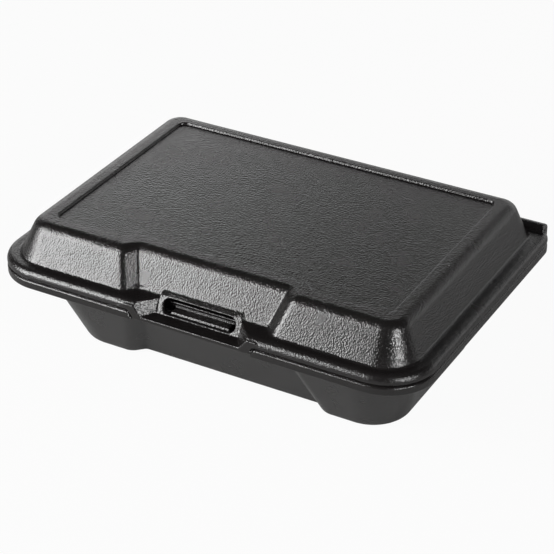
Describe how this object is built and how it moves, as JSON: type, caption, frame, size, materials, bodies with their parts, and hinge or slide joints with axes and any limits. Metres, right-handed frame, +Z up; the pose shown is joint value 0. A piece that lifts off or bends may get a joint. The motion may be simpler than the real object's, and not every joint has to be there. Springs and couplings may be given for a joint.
{
  "type": "foam clamshell container",
  "caption": "Hinged foam takeaway container: a deep tray and a lid with a sunken panel, folded together at the rear, with a front recess, ledge and slot lock.",
  "frame": {"origin": "centre of the closed container's bounding box, on the surface that it stands on", "axes": "+Z up, +X along the long side to the right when seen from the lock, +Y from the lock at the front to the fold at the rear"},
  "size_m": [0.233, 0.165, 0.073],
  "materials": {
    "black_foam": "black polystyrene foam sheet, thermoformed, fine-grained satin skin"
  },
  "bodies": {
    "tray": {"tray": "black_foam"},
    "lid": {"lid": "black_foam"}
  },
  "joints": [
    {"name": "lid_fold", "type": "hinge", "parent": "tray", "child": "lid", "pos_m": [0, 0.0825, 0.05085], "axis": [-1, 0, 0], "range_deg": [0, 180]}
  ]
}
